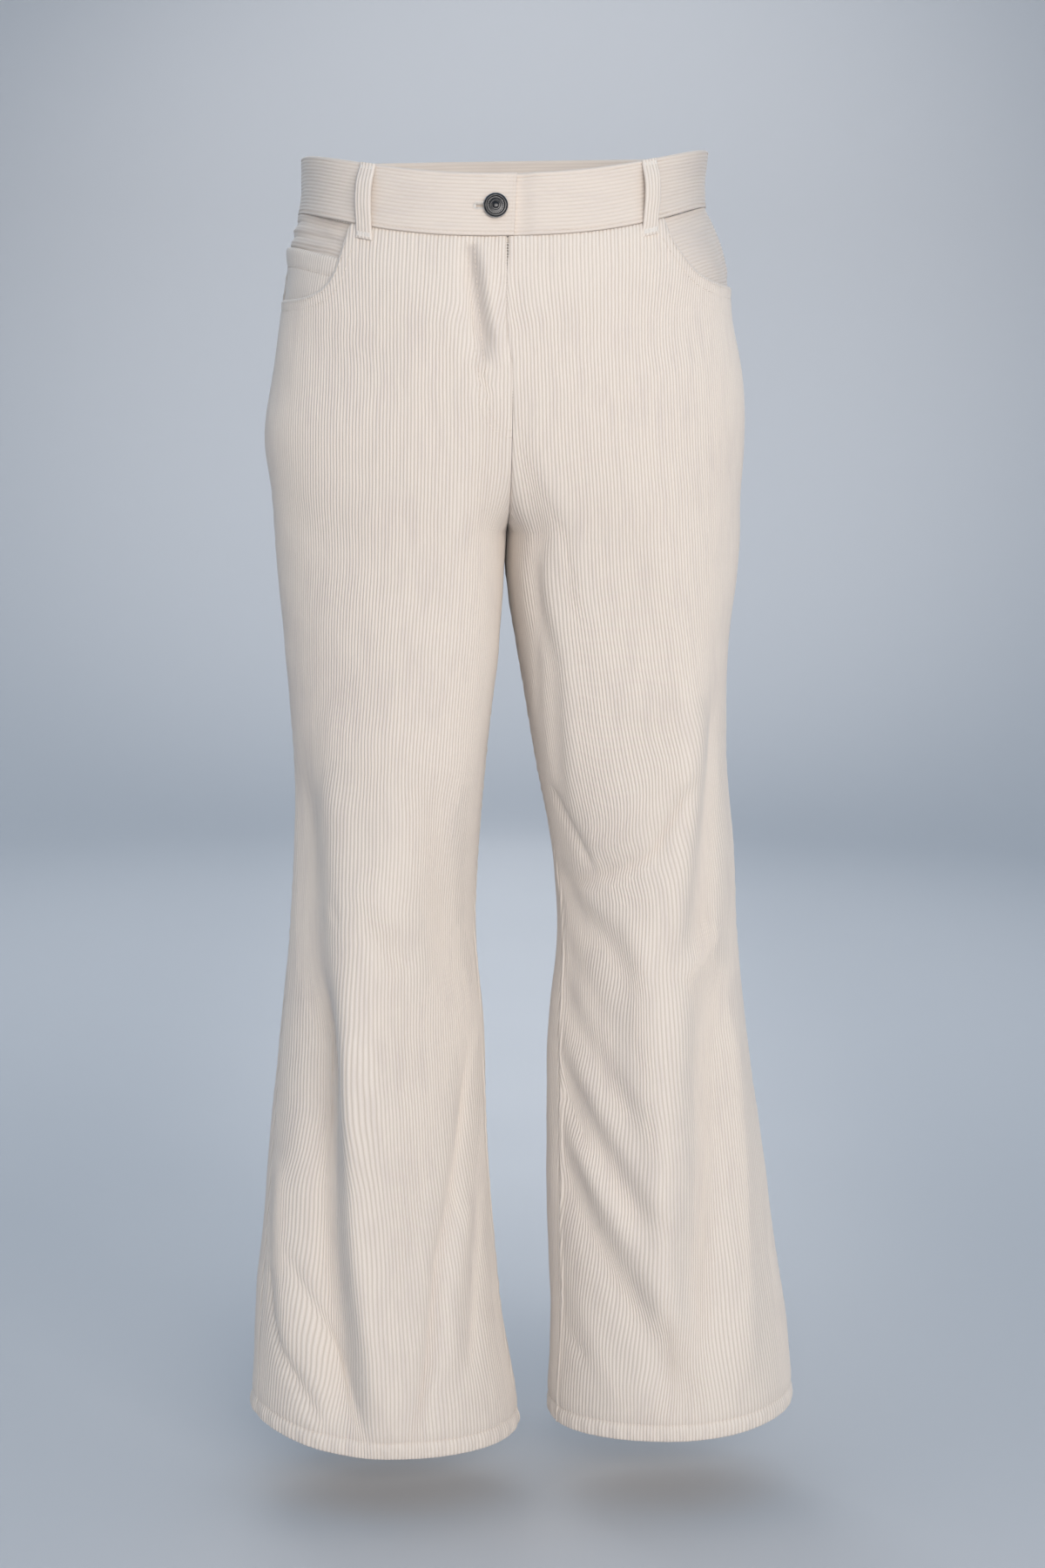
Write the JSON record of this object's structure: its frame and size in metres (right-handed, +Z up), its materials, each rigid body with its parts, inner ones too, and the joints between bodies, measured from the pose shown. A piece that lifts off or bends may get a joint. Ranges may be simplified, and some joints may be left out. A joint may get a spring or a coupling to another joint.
{
  "type": "corduroy trousers",
  "caption": "Flared corduroy trousers in the hollow shape they take when worn, open at the waist and the hems, with a zip fly, scoop pockets, belt loops and a shank button.",
  "frame": {"origin": "middle of the waist where the wearer holds the trousers: x = 0 at the centre-front seam, z = 0 half way up the waistband at the side, y = 0 midway between belly and seat", "axes": "+Z up along the wearer's body, -Y is where the wearer faces, +X is the wearer's left"},
  "size_m": [0.4316, 0.2661, 0.9936],
  "materials": {
    "corduroy": "ten-wale cotton corduroy, wales down the leg",
    "corduroy_band": "the same corduroy, wales along the band",
    "corduroy_loop": "the same corduroy, wales along the loop",
    "corduroy_facing": "the same corduroy, wales across on the facings",
    "zip_tape": "woven tape with metal teeth",
    "gunmetal": "dark polished metal with a silver rim"
  },
  "bodies": {
    "root": {"front_right": "corduroy", "front_left": "corduroy", "back_right": "corduroy", "back_left": "corduroy", "waistband": "corduroy_band", "belt_loop_front_right": "corduroy_loop", "belt_loop_front_left": "corduroy_loop", "belt_loop_back_right": "corduroy_loop", "belt_loop_back_left": "corduroy_loop", "belt_loop_centre_back": "corduroy_loop", "pocket_facing_right": "corduroy_facing", "pocket_facing_left": "corduroy_facing", "coin_pocket": "corduroy_facing", "zip_tape": "zip_tape", "zip_slider": "gunmetal", "button": "gunmetal"}
  },
  "joints": []
}
